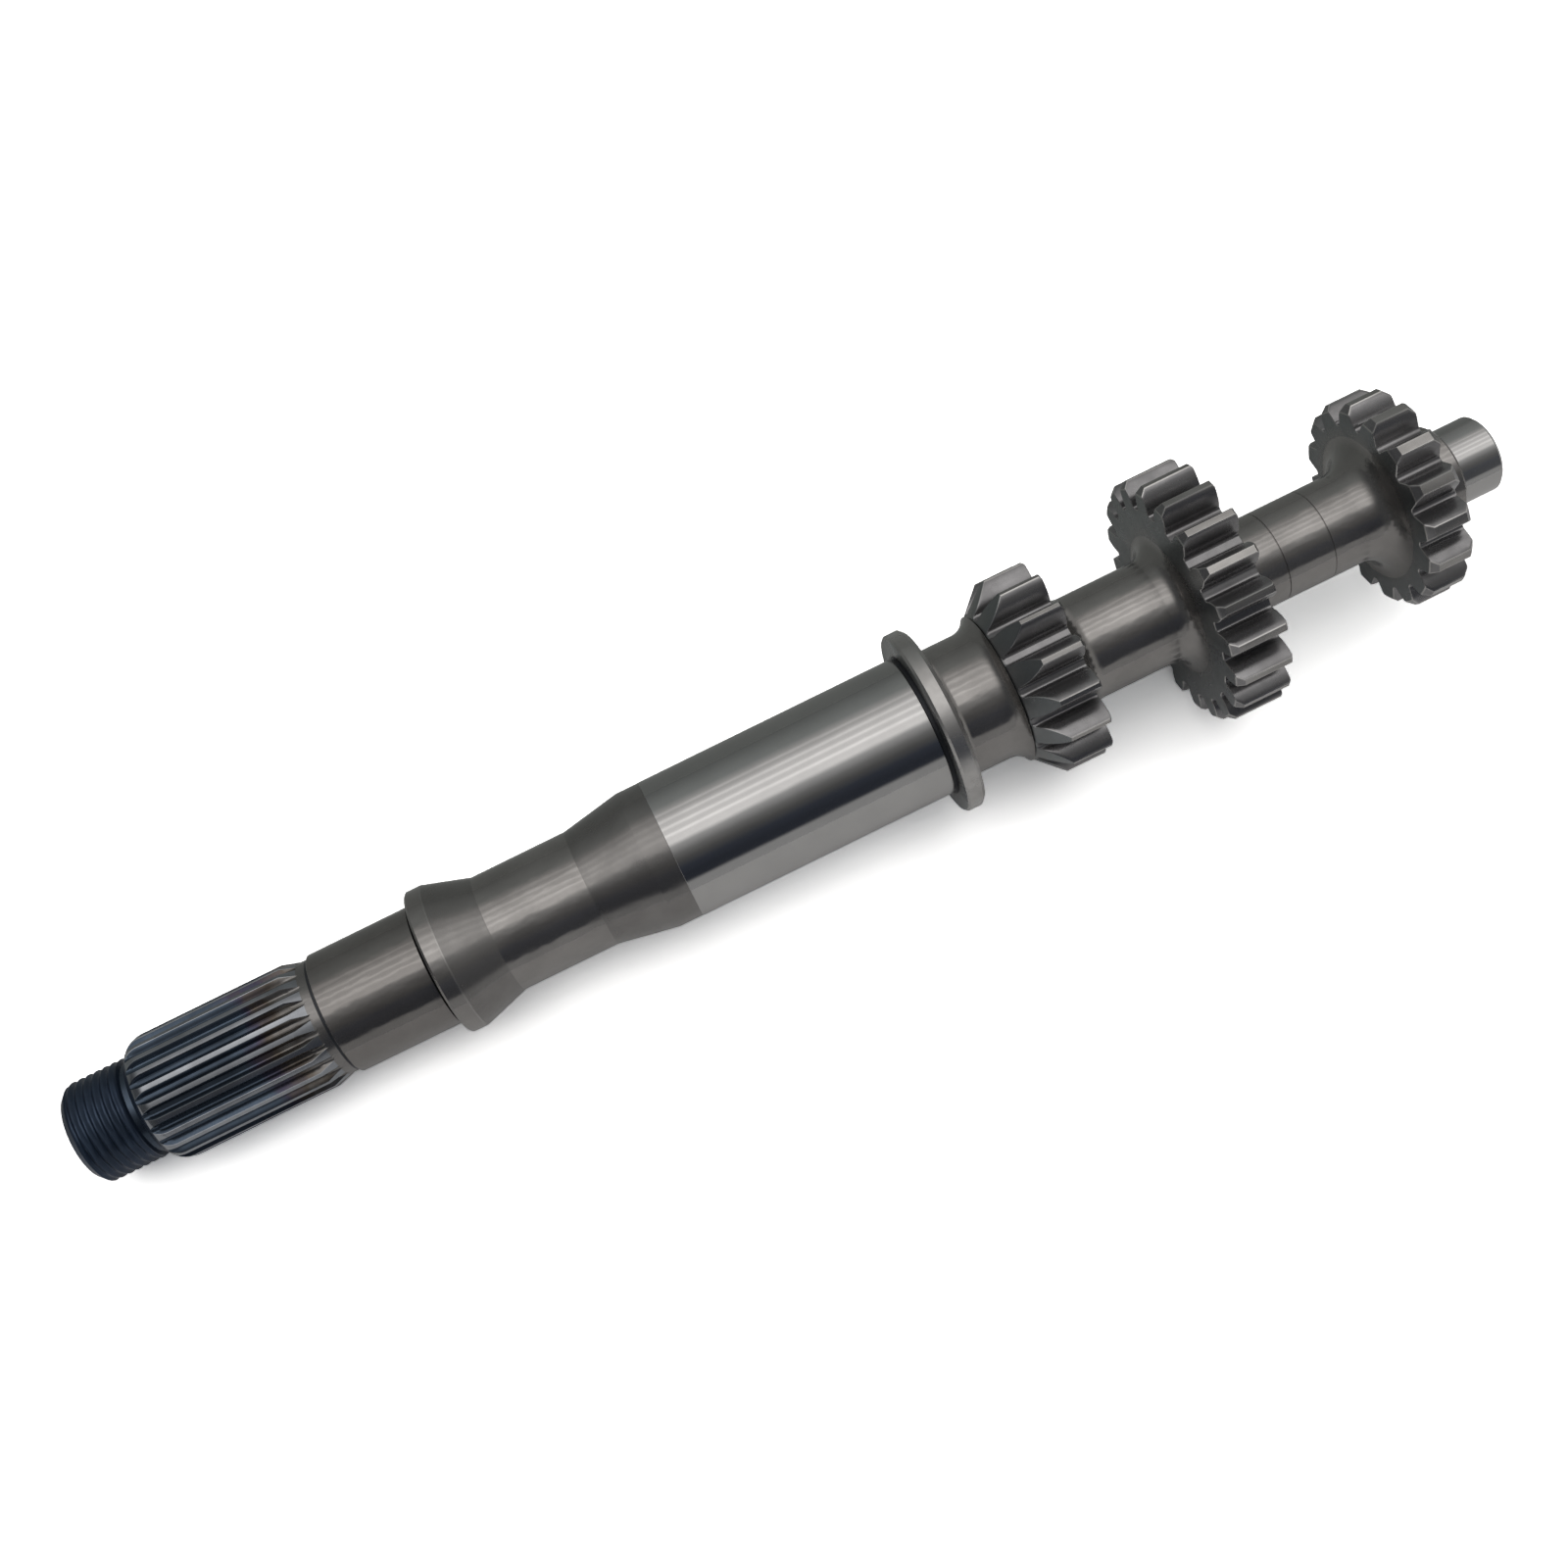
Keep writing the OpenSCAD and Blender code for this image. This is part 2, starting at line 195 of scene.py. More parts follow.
class NeckSizes(bpy.types.PropertyGroup):
    """Sizes of the necks, the hub and the end journal, in millimetres."""

    neck2_radius: size("Second neck radius", 9.25, "Radius of the neck before the large gear")
    neck2_length: size("Second neck length", 20.2, "Length of that neck")
    neck2_fillet: size("Second neck fillet", 3.9, "Radius of the fillets at its ends")
    neck3_radius: size("Third neck radius", 8.05, "Radius of the neck before the last gear")
    neck3_length: size("Third neck length", 27.6, "Length of that neck")
    neck3_fillet: size("Third neck fillet", 5.0, "Radius of the fillet at the last gear")
    small_fillet: size("Small fillet", 1.6, "Radius of the fillets behind the flange and the large gear")
    scribe_start: size("First scribed ring", 8.3, "Its distance from the large gear")
    scribe_step: size("Scribed ring step", 8.5, "Distance between the two scribed rings")
    scribe_width: size("Scribed ring width", 0.25, "Width of a scribed ring")
    hub_radius: size("Hub radius", 8.7, "Radius of the hub behind the last gear")
    hub_length: size("Hub length", 5.5, "Length of the hub")
    end_radius: size("End radius", mounted("end_journal", "r_mm"), "Radius of the end journal")
    end_length: size("End length", 8.0, "Length of the end journal")
    end_chamfer: size("End chamfer", 0.5, "Chamfer on the end journal and on the hub")


class FinishSettings(bpy.types.PropertyGroup):
    """Colours of the shaft's finishes."""

    turned: shade("Turned steel", (0.285, 0.274, 0.265), "The necks, the waist, the collar and the hub")
    journal: shade("Rear journal", (0.222, 0.211, 0.203), "The rear journal")
    cones: shade("Cones", (0.225, 0.217, 0.211), "The cones beside the waist and the band behind the spline")
    ground: shade("Ground steel", (0.42, 0.415, 0.41), "The bearing seat and the end journal")
    faces: shade("Gear faces", (0.185, 0.196, 0.200), "The sides of the gears and the flange")
    teeth: shade("Teeth", (0.245, 0.241, 0.245), "The flanks and floors of the teeth")
    # On the collar's rear edge this colour is also a painted highlight.
    lands: shade("Lands", (0.34, 0.33, 0.32), "The tops of the teeth and the collar's rear edge")
    # Polished steel; where it brightens the tooth edges and the bevels round the tooth ends it is also a painted
    # highlight.
    worn: shade("Worn steel", (0.45, 0.44, 0.43), "The flange's rim, and edges that contact has polished")
    # The grooves' dark colour is old oil, and also painted shade in the narrow recesses.
    grooves: shade("Grooves", (0.050, 0.053, 0.060), "The narrow grooves, dark with old oil")
    thread: shade("Thread", (0.030, 0.048, 0.082), "The blued thread")
    blued: shade("Blued steel", (0.062, 0.084, 0.116), "The grooves of the spline")
    spline_lands: shade("Spline lands", (0.305, 0.32, 0.345), "The tops of the splines")
    purple: shade("Purple tint", (0.062, 0.056, 0.088), "The heat tint next to the blue")
    straw: shade("Straw tint", (0.100, 0.084, 0.070), "The heat tint at the rear of the spline")


class StudioSettings(bpy.types.PropertyGroup):
    """The camera, the floor and the lights."""

    focal: number("Focal length", 40.27, "Lens, in millimetres")
    distance: size("Distance", 296.0, "Camera's distance from the axis, in millimetres")
    foot: number("Foot", -44.3, "Point of the axis under the camera, from the thrust face")
    shift: numbers("Shift", (0.06, 0.0054), "Shift of the frame along the axis and across it")
    lean: number("Lean", 0.54, "Camera's lean along the axis, in degrees")
    side: number("Side", 14.2, "Camera's turn round the axis towards the front, in degrees")
    roll: number("Roll", 26.1154, "How far the axis climbs in the picture, in degrees")
    floor: shade("Floor", (0.92, 0.92, 0.92), "Colour of the floor in front, as the steel mirrors it")
    # The floor behind is darker only in the steel's mirror image: painted shade.
    floor_behind: shade("Floor behind", (0.34, 0.36, 0.35), "Colour of the floor behind, as the steel mirrors it")
    white: number("White", 3.0, "Brightness of the floor to the camera")
    softbox: number("Softbox", 1.48, "Radiance of the softbox overhead")


class ShaftSettings(bpy.types.PropertyGroup):
    """Everything that a user may change."""

    thread: PointerProperty(type=ThreadSizes)
    spline: PointerProperty(type=SplineSizes)
    centre: PointerProperty(type=CentreSizes)
    journal: PointerProperty(type=JournalSizes)
    seat: PointerProperty(type=SeatSizes)
    gears: PointerProperty(type=GearSizes)
    necks: PointerProperty(type=NeckSizes)
    finish: PointerProperty(type=FinishSettings)
    studio: PointerProperty(type=StudioSettings)


RING_PLACES = 144
ROUND = np.arange(RING_PLACES) * 2 * math.pi / RING_PLACES
CRISP = True
TINY = 1e-9
SAME = 1e-6


class Skin:
    """A closed skin round the shaft's axis, made ring by ring from one end to the other. A ring is its (first point,
    number of points, angles), and last is the ring that the next one is joined to."""

    def __init__(self):
        self.points, self.edge, self.crisp = [], [], []
        self.quads, self.quad_finish = [], []
        self.triangles, self.triangle_finish = [], []
        self.count = 0
        self.last = None

    def add(self, radius, station, angle=ROUND, crisp=False, edge=0.0):
        """Adds a ring of points and returns it. edge is how far its points are polished and carry a painted
        highlight.
        """
        radius, station, edge = (
            np.broadcast_to(np.asarray(value, float), np.shape(angle)) for value in (radius, station, edge)
        )
        self.points.append(np.stack([radius * np.cos(angle), radius * np.sin(angle), station], 1))
        self.edge.append(edge)
        ring = (self.count, len(angle), np.asarray(angle, float))
        self.count += len(angle)
        if crisp:
            self.crisp.append(ring[:2])
        return ring

    def join(self, ring, finish):
        """Joins a ring of as many points as the last with quads. finish is one number or one for each quad."""
        a, b = self.last, ring
        i = np.arange(a[1])
        j = (i + 1) % a[1]
        self.quads.append(np.stack([a[0] + i, a[0] + j, b[0] + j, b[0] + i], 1))
        self.quad_finish.append(np.broadcast_to(finish, a[1]))
        self.last = ring

    def weave(self, ring, finish):
        """Joins a ring of any number of points with triangles, always stepping to the nearer next point."""
        a, b = self.last, ring
        full = 2 * math.pi
        offset = (b[2] - a[2][0]) % full
        first = int(np.argmin(np.minimum(offset, full - offset)))
        start = (b[2][first] - a[2][0] + math.pi) % full - math.pi
        ahead_a = (a[2] - a[2][0]) % full
        ahead_b = np.roll(b[2] - b[2][first], -first) % full + start
        i = j = 0
        rows = []
        while i < a[1] or j < b[1]:
            next_a = ahead_a[i + 1] if i + 1 < a[1] else full if i < a[1] else math.inf
            next_b = ahead_b[j + 1] if j + 1 < b[1] else full + start if j < b[1] else math.inf
            here_a, here_b = a[0] + i % a[1], b[0] + (first + j) % b[1]
            if next_a <= next_b:
                i += 1
                rows.append((here_a, a[0] + i % a[1], here_b))
            else:
                j += 1
                rows.append((here_a, b[0] + (first + j) % b[1], here_b))
        self.triangles.append(np.array(rows))
        self.triangle_finish.append(np.full(len(rows), finish))
        self.last = ring

    def turn(self, finish, *profile):
        """Follows a turned profile of (radius, station) or (radius, station, CRISP) points."""
        for radius, station, *crisp in profile:
            self.join(self.add(radius, station, crisp=bool(crisp)), finish)

    def cap(self, station, finish, first):
        """Closes the first or the other end with a fan from the last ring to a point on the axis."""
        start, count, _ = self.last
        self.points.append(np.array([[0.0, 0.0, station]]))
        self.edge.append(np.zeros(1))
        here, after = start + np.arange(count), start + (np.arange(count) + 1) % count
        pair = (after, here) if first else (here, after)
        self.triangles.append(np.stack([*pair, np.full(count, self.count)], 1))
        self.triangle_finish.append(np.full(count, finish))
        self.count += 1

    def build(self, name, materials, place, smooth_below):
        """The skin as a mesh object in metres, put in its place, with flat shading across its crisp edges."""
        faces = np.concatenate(self.quads).tolist() + np.concatenate(self.triangles).tolist()
        mesh = bpy.data.meshes.new(name)
        mesh.from_pydata((np.concatenate(self.points) * MM).tolist(), [], faces)
        mesh.transform(place)
        for material in materials:
            mesh.materials.append(material)
        finish = np.concatenate(self.quad_finish + self.triangle_finish).astype(np.int32)
        mesh.polygons.foreach_set("material_index", finish)
        mesh.polygons.foreach_set("use_smooth", np.ones(len(faces), bool))
        # Marks the polished tooth edges, which the tooth finishes also brighten as a painted highlight.
        wear = mesh.attributes.new("wear", "FLOAT", "POINT")
        wear.data.foreach_set("value", np.concatenate(self.edge).astype(np.float32))
        mesh.set_sharp_from_angle(angle=math.radians(smooth_below))
        self.mark_crisp(mesh)
        mesh.validate()
        mesh.update()
        thing = bpy.data.objects.new(name, mesh)
        bpy.context.scene.collection.objects.link(thing)
        return thing

    def mark_crisp(self, mesh):
        """Marks the rings that were named crisp, however shallow the bend across them."""
        ring_of = np.full(self.count, -1)
        for number, (first, count) in enumerate(self.crisp):
            ring_of[first : first + count] = number
        ends = np.zeros(len(mesh.edges) * 2, np.int64)
        mesh.edges.foreach_get("vertices", ends)
        ends = ring_of[ends.reshape(-1, 2)]
        along = (ends[:, 0] == ends[:, 1]) & (ends[:, 0] >= 0)
        sharp = mesh.attributes.get("sharp_edge") or mesh.attributes.new("sharp_edge", "BOOLEAN", "EDGE")
        marks = np.zeros(len(mesh.edges), bool)
        sharp.data.foreach_get("value", marks)
        sharp.data.foreach_set("value", marks | along)


def arc(centre, radius, start, end, steps):
    """Points of an arc on the turned profile, as (radius, station) pairs."""
    turn = np.radians(np.linspace(start, end, steps + 1))
    return [(centre[0] + radius * math.cos(a), centre[1] + radius * math.sin(a)) for a in turn]


def fillet_down(neck, station, radius, steps):
    """The fillet from the face at a station down to a neck."""
    return arc((neck + radius, station + radius), radius, 270, 180, steps)


def fillet_up(neck, station, radius, steps):
    """The fillet from a neck up to the face at a station."""
    return arc((neck + radius, station - radius), radius, 180, 90, steps)


def scribed_ring(station, radius, width):
    """The profile of a fine scribed ring, half as deep as it is wide."""
    side, floor, low = width / 2, width / 8, radius - width / 2
    return [(radius, station - side, CRISP), (low, station - floor), (low, station + floor),
            (radius, station + side, CRISP)]


def involute(angle):
    """The involute function of an angle in radians."""
    return math.tan(angle) - angle


class Outline:
    """The outline round the axis of a toothed stretch, from the half outline of one tooth and its space."""

    LAND_STEPS = 2
    LEAST_LAND = 0.2

    def __init__(self, count, turn, side, tip_bevel):
        self.count = count
        self.turn = math.radians(turn)
        self.side = np.array(side)
        self.root, self.tip = self.side[0, 0], self.side[-1, 0]
        self.tip_bevel = tip_bevel

    def clipped(self, top):
        """The side's points below radius top, spread along it so that their number stays the same."""
        radius, half = self.side.T
        places = np.arange(len(radius))
        rising = np.maximum.accumulate(radius + places * TINY)
        spots = places * np.interp(top, rising, places) / places[-1]
        return np.interp(spots, places, radius), np.interp(spots, places, half)

    def loop(self, top, inset=0.0):
        """Radii, angles, wear and land marks of the outline, cut off at radius top and drawn in by inset."""
        radius, half = self.clipped(min(top, self.tip))
        reach = radius[-1]
        bevel = self.tip_bevel * min(1.0, max(0.0, reach - self.root))
        radius[-1] -= bevel
        edge = max(half[-1] - bevel / reach, self.LEAST_LAND * half[-1])
        land = [edge * (1 - k / self.LAND_STEPS) for k in range(self.LAND_STEPS + 1)]
        corner = len(radius)
        radius = np.concatenate([radius, np.full(len(land), reach)])
        half = np.concatenate([half, land])
        wear = np.zeros(len(half))
        wear[corner - 1 : corner + 1] = 1.0
        on_land = np.arange(len(half)) >= corner - 1
        mirrored = [np.concatenate([a[:-1], a[:0:-1]]) for a in (radius, wear, on_land)]
        angle = np.concatenate([-half[:-1], half[:0:-1]])
        angle = (angle + np.arange(self.count)[:, None] * 2 * math.pi / self.count).ravel() + self.turn
        radius, wear, on_land = (np.tile(a, self.count) for a in mirrored)
        if inset:
            radius, angle = drawn_in(radius, angle, inset)
        return radius, angle, wear, on_land


def gear_outline(sizes, number):
    """The outline of one of the three gears: involute flanks on a rounded foot."""
    foot_steps, flank_steps, dedendum, widest_foot, tip_bevel = 6, 9, 1.25, 0.95, 0.09
    count, shift = sizes.teeth[number], sizes.shift[number]
    slope = math.radians(sizes.pressure_angle)
    pitch_radius = sizes.module * count / 2
    base = pitch_radius * math.cos(slope)
    tip = pitch_radius + sizes.module * (1 + shift) - sizes.topping[number]
    root = pitch_radius - sizes.module * (dedendum - shift)

    def half(radius):
        at_pitch = (math.pi / 2 + 2 * shift * math.tan(slope)) / count
        return at_pitch + involute(slope) - involute(math.acos(min(1.0, base / radius)))

    space, foot_half = math.pi / count, half(max(root, base))
    foot = min(sizes.foot[number], widest_foot * (space - foot_half) * root)
    side = [(root, space), (root, (space + foot_half + foot / root) / 2)]
    for i in range(foot_steps + 1):
        a = math.pi / 2 * i / foot_steps
        side.append((root + foot * (1 - math.cos(a)), foot_half + foot * (1 - math.sin(a)) / root))
    start = max(root + foot, base)
    flank = [start + (tip - start) * i / flank_steps for i in range(flank_steps + 1)]
    side += [(radius, half(radius)) for radius in flank if radius > root + foot + SAME]
    return Outline(count, sizes.turn[number], side, tip_bevel)


def spline_outline(sizes):
    """The outline of the spline: straight flanks from narrow floors up to the lands."""
    steps, floor_share, lead, tip_bevel = 3, 0.6, 0.4, 0.07
    root = sizes.radius - sizes.depth
    land, floor = sizes.land / 2 / sizes.radius, sizes.floor / 2 / root
    space = math.pi / sizes.teeth
    foot, top = np.array([root, space - floor]), np.array([sizes.radius, land])
    side = [(root, space), (root, space - floor * floor_share)]
    side += [tuple(foot + (top - foot) * (i + lead) / (steps + lead)) for i in range(steps + 1)]
    return Outline(sizes.teeth, 0.0, side, tip_bevel)


def drawn_in(radius, angle, inset):
    """An outline moved into the metal by inset, point by point along its mitred normals."""
    sharpest = 0.8
    points = np.stack([radius * np.cos(angle), radius * np.sin(angle)], 1)
    after = np.roll(points, -1, 0) - points
    after /= np.maximum(np.linalg.norm(after, axis=1, keepdims=True), TINY)
    along = after + np.roll(after, 1, 0)
    length = np.maximum(np.linalg.norm(along, axis=1, keepdims=True), sharpest)
    points += np.stack([-along[:, 1], along[:, 0]], 1) / length * (inset * 2 / length)
    moved = np.arctan2(points[:, 1], points[:, 0]) - angle
    return np.linalg.norm(points, axis=1), angle + (moved + math.pi) % (2 * math.pi) - math.pi


def toothed(skin, outline, rows, finishes):
    """Adds rings of an outline at rows of (station, top radius, inset). finishes are for the face before it, the
    bevels round its ends, the chamfered tips, the lands and the flanks."""
    face, bevel, tip, land, flank = finishes
    before = None
    for station, top, inset in rows:
        radius, angle, wear, on_land = outline.loop(top, inset)
        ring = skin.add(radius, station, angle, edge=1.0 if inset else wear)
        if before is None:
            skin.weave(ring, face)
        elif inset or before[1]:
            skin.join(ring, bevel)
        else:
            lands = tip if abs(top - before[0]) > SAME else land
            skin.join(ring, np.where(on_land & np.roll(on_land, -1), lands, flank))
        before = (top, inset)


def gear_rows(outline, z0, z1, front, rear, burr):
    """Stations of a gear between z0 and z1, with (depth, length) chamfers on its tips at both ends."""
    clearance, front_step = 0.15, 0.4
    lowest = outline.root + clearance

    def top(z):
        rise = min(1.0, (z - z0) / front[1])
        fall = min(1.0, (z1 - z) / rear[1])
        return outline.tip - front[0] * (1 - rise) - rear[0] * (1 - fall)

    buried = top(z0) < lowest
    begin = z0 + front[1] * (lowest - top(z0)) / front[0] if buried else z0 + burr
    steps = max(2, round(front[1] / front_step))
    spots = [*np.linspace(begin, z0 + front[1], steps + 1)]
    spots += [*np.linspace(z0 + front[1], z1 - rear[1], 3)[1:], *np.linspace(z1 - rear[1], z1 - burr, 3)[1:]]
    rows = [(z, top(z), 0.0) for z in spots]
    if not buried:
        rows.insert(0, (z0, top(z0), burr))
    return [*rows, (z1, top(z1), burr)]


def spline_rows(outline, sizes, z0, z1):
    """Stations of the spline's toothed part, from where its rounded front rises above the groove floors."""
    clearance, nose_rings, taper_rings = 0.06, 13, 7
    centre = sizes.radius - sizes.nose
    start = math.acos((outline.root + clearance - centre) / sizes.nose)
    nose = [(z0 + sizes.nose * (1 - math.sin(a)), centre + sizes.nose * math.cos(a))
            for a in np.linspace(start, 0, nose_rings)]
    ends = np.linspace(z1 - sizes.taper, z1, taper_rings + 1)[:-1]
    tail = [(z, sizes.radius - sizes.depth * (z - ends[0]) / sizes.taper) for z in ends]
    return [(z, top, 0.0) for z, top in nose + tail]


def threaded(skin, sizes, finish):
    """Adds the thread: one right-handed helical groove under a chamfered end."""
    rings_per_turn, end_gap, flat_share, groove_share = 15, 0.15, 0.25, 0.86
    run_in, run_out, least, worn_cut = 0.7, 0.8, 0.25, 0.08
    step, end = sizes.pitch / rings_per_turn, sizes.length - end_gap * sizes.pitch
    for station in np.arange(step, end, step):
        phase = (station / sizes.pitch - ROUND / (2 * math.pi)) % 1.0
        off = np.abs(phase - 0.5) * 2 / groove_share
        cut = np.clip((1 - off) / (1 - flat_share), 0, 1)
        fade = min(1.0, (station / sizes.pitch) ** 2 / run_in, (end - station) / (run_out * sizes.pitch) + least)
        radius = sizes.radius - sizes.depth * cut * fade
        cone = sizes.radius - sizes.chamfer + station
        skin.join(skin.add(np.minimum(radius, cone), station, edge=cut < worn_cut), finish)


(BLUED_THREAD, BLUED_SPLINE, SPLINE_LANDS, JOURNAL, CONES, TURNED, GROUND, FACES, TEETH, LANDS, WORN_AND_HIGHLIGHT,
 GROOVES) = range(12)


def stations(sizes):
    """Where each feature starts, in millimetres from the thread's end face."""
    thread, spline, journal = sizes.thread, sizes.spline, sizes.journal
    seat, gears, necks = sizes.seat, sizes.gears, sizes.necks
    steps = {
        "thread": thread.length,
        "spline": thread.relief_length,
        "spline_end": spline.length,
        "band": spline.band,
        "journal": journal.groove,
        "journal_end": journal.length,
        "collar": journal.groove,
        "collar_end": journal.collar_length,
        "waist": journal.waist_fall,
        "waist_end": journal.waist_length,
        "lead": journal.waist_rise,
        "seat": seat.lead,
        "seat_end": seat.length,
        "thrust": seat.groove,
        "flange_end": seat.flange_length,
        "shoulder": seat.neck_length,
        "gear1": seat.shoulder_groove,
        "gear1_end": gears.length[0],
        "gear2": necks.neck2_length,
        "gear2_end": gears.length[1],
        "gear3": necks.neck3_length,
        "gear3_end": gears.length[2],
        "hub_end": necks.hub_length,
        "end": necks.end_length,
    }
    return dict(zip(steps, np.cumsum(list(steps.values()))))


def lay_thread_and_spline(skin, sizes, z):
    """The first end: centre hole, thread, relief and spline."""
    thread, spline, centre = sizes.thread, sizes.spline, sizes.centre
    skin.last = skin.add(centre.pilot, centre.depth)
    skin.cap(centre.depth, TURNED, first=True)
    skin.turn(TURNED, (centre.pilot, centre.cone), (centre.mouth, 0.0, CRISP))
    skin.turn(BLUED_THREAD, (thread.radius - thread.chamfer, 0.0, CRISP))
    threaded(skin, thread, BLUED_THREAD)
    root, middle, gap = spline.radius - spline.depth, spline.radius - spline.nose, 0.005
    start, end = 285, 360 - math.degrees(math.acos((root - middle) / spline.nose))
    front = arc((middle, z["spline"] + spline.nose), spline.nose, start, end, steps=6)
    skin.turn(BLUED_THREAD, (thread.relief_radius, z["thread"], CRISP))
    skin.turn(BLUED_SPLINE, (thread.relief_radius, front[0][1] - gap))
    skin.turn(BLUED_THREAD, *front)
    outline = spline_outline(spline)
    rows = spline_rows(outline, spline, z["spline"], z["spline_end"])
    toothed(skin, outline, rows, (BLUED_SPLINE, BLUED_SPLINE, SPLINE_LANDS, SPLINE_LANDS, BLUED_SPLINE))
    skin.weave(skin.add(root, z["spline_end"]), CONES)
    skin.turn(CONES, (root, z["band"], CRISP))


def lay_journal_and_waist(skin, sizes, z):
    """The rear journal, the collar, its cone, the waist and the cone up to the seat."""
    journal, low = sizes.journal, sizes.seat.radius - sizes.seat.grind
    radius, groove, side = journal.radius, journal.radius - journal.groove_depth, journal.groove / 4
    collar, chamfer = journal.collar_radius, journal.collar_chamfer
    edge, step, rim_before, rim_after = 0.08, 0.02, 0.15, 0.1
    skin.turn(GROOVES, (groove, z["band"] + side), (groove, z["journal"] - side),
              (radius - edge, z["journal"] - step))
    skin.turn(JOURNAL, (radius, z["journal"] + edge, CRISP), (radius, z["journal_end"] - edge, CRISP),
              (radius - edge, z["journal_end"] + step))
    skin.turn(GROOVES, (groove, z["journal_end"] + side), (groove, z["collar"]),
              (collar - chamfer, z["collar"], CRISP))
    skin.turn(TURNED, (collar, z["collar"] + chamfer, CRISP), (collar, z["collar_end"] - rim_before, CRISP))
    # The collar's rear edge takes the lands' brighter colour: polished steel and a painted highlight.
    skin.turn(LANDS, (collar - edge, z["collar_end"] + rim_after, CRISP))
    skin.turn(CONES, (journal.waist_radius, z["waist"], CRISP))
    skin.turn(TURNED, (journal.waist_radius, z["waist_end"], CRISP))
    skin.turn(CONES, (low, z["lead"], CRISP), (low, z["seat"], CRISP))


def lay_seat_and_flange(skin, sizes, z):
    """The ground seat, its groove, the thrust flange and the neck up to the first gear."""
    seat, tip_break = sizes.seat, sizes.gears.tip_break
    radius, low, deep = seat.radius, seat.radius - seat.groove_depth, z["thrust"] + seat.face_depth
    rim, chamfer = seat.flange_radius, seat.flange_chamfer
    skin.turn(GROUND, (radius, z["seat"] + seat.grind, CRISP), (radius, z["seat_end"], CRISP))
    skin.turn(GROOVES, (low, z["seat_end"] + seat.groove / 4), (low, deep), (radius + seat.face_rise / 2, deep))
    skin.turn(FACES, (radius + seat.face_rise, z["thrust"], CRISP), (rim - tip_break, z["thrust"], CRISP))
    skin.turn(WORN_AND_HIGHLIGHT, (rim, z["thrust"] + tip_break, CRISP), (rim, z["flange_end"] - chamfer, CRISP),
              (rim - chamfer, z["flange_end"], CRISP))
    neck, flare = seat.neck_radius, seat.flare
    sweep = math.degrees(math.acos(1 - (seat.shoulder_radius - neck) / flare))
    middle = z["shoulder"] - flare * math.sin(math.radians(sweep))
    skin.turn(TURNED, *fillet_down(neck, z["flange_end"], sizes.necks.small_fillet, steps=12),
              *arc((neck + flare, middle), flare, 180, 180 - sweep, steps=12))


def leave_gear(skin, first, *rest):
    """Closes a gear's rear side down to the first point of a turned profile, then follows the rest of it."""
    skin.weave(skin.add(*first), FACES)
    skin.turn(TURNED, *rest)


def lay_gears(skin, sizes, z):
    """The three gears and the necks between them."""
    gears, necks, core_step = sizes.gears, sizes.necks, 0.6
    outlines = [gear_outline(gears, n) for n in range(3)]
    broken, chamfered = (gears.tip_break,) * 2, (gears.tip_chamfer,) * 2

    def cut_gear(number, front, rear, tips):
        outline = outlines[number - 1]
        rows = gear_rows(outline, z[f"gear{number}"], z[f"gear{number}_end"], front, rear, gears.burr)
        # The bevels round the tooth ends take the polished colour, also as a painted highlight.
        toothed(skin, outline, rows, (FACES, WORN_AND_HIGHLIGHT, tips, LANDS, TEETH))

    root, sink = outlines[0].root, gears.cone_sink
    core, cone = root - core_step, outlines[0].tip - root + sink
    skin.turn(GROOVES, (core, z["shoulder"] + sizes.seat.shoulder_groove / 2), (core, z["gear1"]),
              (root - sink, z["gear1"]))
    cut_gear(1, (cone, cone / math.tan(math.radians(gears.cone))), broken, FACES)

    neck, fillet = necks.neck2_radius, min(necks.neck2_fillet, core - necks.neck2_radius)
    leave_gear(skin, *fillet_down(neck, z["gear1_end"], fillet, steps=16),
               *fillet_up(neck, z["gear2"], fillet, steps=16))
    cut_gear(2, chamfered, broken, TEETH)

    neck, first_ring = necks.neck3_radius, z["gear2_end"] + necks.scribe_start
    rings = [scribed_ring(first_ring + n * necks.scribe_step, neck, necks.scribe_width) for n in range(2)]
    leave_gear(skin, *fillet_down(neck, z["gear2_end"], necks.small_fillet, steps=12), *rings[0], *rings[1],
               *fillet_up(neck, z["gear3"], necks.neck3_fillet, steps=18))
    cut_gear(3, chamfered, chamfered, TEETH)


def lay_end(skin, sizes, z):
    """The hub, the end journal and the second centre hole."""
    seat, necks, centre = sizes.seat, sizes.necks, sizes.centre
    hub, radius, chamfer = necks.hub_radius, necks.end_radius, necks.end_chamfer
    start, end = z["hub_end"], z["end"]
    deep, low = start - seat.face_depth, radius - seat.face_depth
    leave_gear(skin, (hub, z["gear3_end"]), (hub, start - chamfer, CRISP), (hub - chamfer, start, CRISP))
    skin.turn(GROOVES, (radius + seat.face_rise, start, CRISP), (radius + seat.face_rise / 2, deep), (low, deep),
              (low, start), (radius, start + sizes.journal.groove, CRISP))
    skin.turn(GROUND, (radius, end - chamfer, CRISP), (radius - chamfer, end, CRISP))
    skin.turn(TURNED, (centre.mouth, end, CRISP), (centre.pilot, end - centre.cone),
              (centre.pilot, end - centre.depth))
    skin.cap(end - centre.depth, TURNED, first=False)


def shaft_matrix(thrust):
    """Turns the shaft's own frame, z along the axis from the thread's end, into the row frame."""
    turn = Matrix((-UP, BACKWARDS, AXIS)).transposed().to_4x4()
    return turn @ Matrix.Translation((0, 0, -thrust * MM))


def feed(tree, socket, value):
    """Links a socket to an input, or sets the input's value."""
    if isinstance(value, bpy.types.NodeSocket):
        tree.links.new(value, socket)
    else:
        socket.default_value = value


